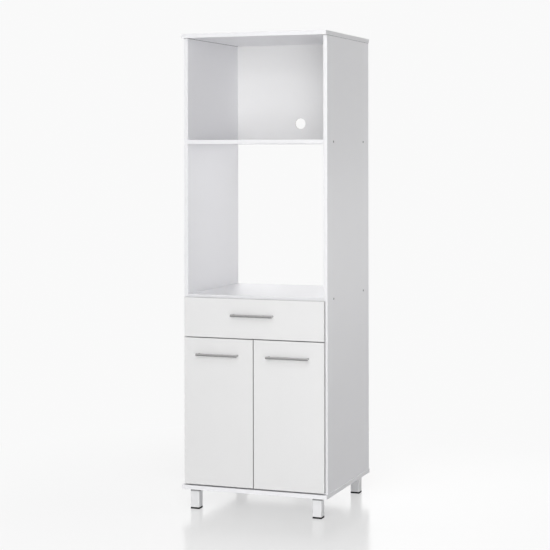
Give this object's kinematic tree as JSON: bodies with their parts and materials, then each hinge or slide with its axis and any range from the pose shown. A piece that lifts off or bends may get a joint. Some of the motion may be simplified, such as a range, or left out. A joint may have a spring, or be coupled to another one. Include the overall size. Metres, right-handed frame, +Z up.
{
  "type": "tall appliance cabinet",
  "caption": "Tall white kitchen cabinet for a built-in oven and a microwave, with a drawer on roller runners over a pair of hinged doors, standing on square metal legs.",
  "frame": {"origin": "on the floor, under the middle of the cabinet's whole footprint with its handles", "axes": "+Z up, -Y out of the front, +X to the right seen from the front"},
  "size_m": [0.6, 0.589, 1.866],
  "materials": {
    "carcass_board": "white melamine-faced chipboard, satin",
    "front_board": "white melamine-faced chipboard, satin",
    "thin_board": "white lacquered hardboard, satin",
    "zinc_fittings": "bright zinc plate",
    "hinge_steel": "nickel-plated pressed steel",
    "runner_steel": "white powder-coated steel strip",
    "roller_nylon": "off-white nylon",
    "leg_metal": "satin silver-white",
    "pad_plastic": "matt black",
    "dowel_wood": "plain beech",
    "handle_nickel": "satin nickel"
  },
  "bodies": {
    "carcass": {"top_panel": "carcass_board", "bottom_panel": "carcass_board", "left_side_panel": "carcass_board", "right_side_panel": "carcass_board", "middle_shelf": "carcass_board", "bay_floor": "carcass_board", "cupboard_shelf": "carcass_board", "upper_back_panel": "thin_board", "lower_back_panel": "thin_board", "shelf_pins": "zinc_fittings", "side_screws": "zinc_fittings", "end_panel_screws": "zinc_fittings", "leg_bolts": "zinc_fittings", "runner_screws": "zinc_fittings", "hinge_screws": "zinc_fittings", "upper_left_hinge_arm": "hinge_steel", "upper_left_hinge_plate": "hinge_steel", "lower_left_hinge_arm": "hinge_steel", "lower_left_hinge_plate": "hinge_steel", "left_cabinet_runner": "runner_steel", "front_left_leg": "leg_metal", "rear_left_leg": "leg_metal", "upper_right_hinge_arm": "hinge_steel", "upper_right_hinge_plate": "hinge_steel", "lower_right_hinge_arm": "hinge_steel", "lower_right_hinge_plate": "hinge_steel", "right_cabinet_runner": "runner_steel", "front_right_leg": "leg_metal", "rear_right_leg": "leg_metal", "foot_pads": "pad_plastic", "dowels": "dowel_wood"},
    "drawer": {"drawer_front": "front_board", "drawer_left_side": "carcass_board", "drawer_right_side": "carcass_board", "drawer_back": "carcass_board", "drawer_bottom": "thin_board", "left_drawer_runner": "runner_steel", "right_drawer_runner": "runner_steel", "drawer_runner_screws": "zinc_fittings", "drawer_screws": "zinc_fittings", "drawer_cams": "zinc_fittings", "drawer_cam_bolts": "zinc_fittings", "drawer_handle": "handle_nickel", "drawer_handle_screws": "zinc_fittings"},
    "left_door": {"left_door_panel": "front_board", "left_door_handle": "handle_nickel", "left_door_handle_screws": "zinc_fittings", "left_hinge_cups": "hinge_steel", "left_cup_screws": "zinc_fittings", "left_hinge_pins": "zinc_fittings"},
    "right_door": {"right_door_panel": "front_board", "right_door_handle": "handle_nickel", "right_door_handle_screws": "zinc_fittings", "right_hinge_cups": "hinge_steel", "right_cup_screws": "zinc_fittings", "right_hinge_pins": "zinc_fittings"},
    "left_front_wheel": {"left_front_roller": "roller_nylon"},
    "right_front_wheel": {"right_front_roller": "roller_nylon"},
    "left_rear_wheel": {"left_rear_roller": "roller_nylon"},
    "right_rear_wheel": {"right_rear_roller": "roller_nylon"}
  },
  "joints": [
    {"name": "drawer_slide", "type": "slide", "parent": "carcass", "child": "drawer", "axis": [0, -1, 0], "range_m": [0, 0.34]},
    {"name": "left_door_swing", "type": "hinge", "parent": "carcass", "child": "left_door", "pos_m": [-0.2823, -0.2574, 0.3885], "axis": [0, 0, -1], "range_deg": [0, 95]},
    {"name": "right_door_swing", "type": "hinge", "parent": "carcass", "child": "right_door", "pos_m": [0.2823, -0.2574, 0.3885], "axis": [0, 0, 1], "range_deg": [0, 95]},
    {"name": "left_front_roller_spin", "type": "hinge", "parent": "carcass", "child": "left_front_wheel", "pos_m": [-0.27475, -0.2205, 0.7013], "axis": [1, 0, 0], "continuous": true},
    {"name": "left_rear_roller_spin", "type": "hinge", "parent": "drawer", "child": "left_rear_wheel", "pos_m": [-0.27475, 0.1905, 0.7013], "axis": [1, 0, 0], "continuous": true},
    {"name": "right_front_roller_spin", "type": "hinge", "parent": "carcass", "child": "right_front_wheel", "pos_m": [0.27475, -0.2205, 0.7013], "axis": [1, 0, 0], "continuous": true},
    {"name": "right_rear_roller_spin", "type": "hinge", "parent": "drawer", "child": "right_rear_wheel", "pos_m": [0.27475, 0.1905, 0.7013], "axis": [1, 0, 0], "continuous": true}
  ],
  "couplings": [
    {"joint": "left_front_roller_spin", "follows": "drawer_slide", "rad_per_m": 90.909},
    {"joint": "left_rear_roller_spin", "follows": "drawer_slide", "rad_per_m": 90.909},
    {"joint": "right_front_roller_spin", "follows": "drawer_slide", "rad_per_m": 90.909},
    {"joint": "right_rear_roller_spin", "follows": "drawer_slide", "rad_per_m": 90.909}
  ]
}
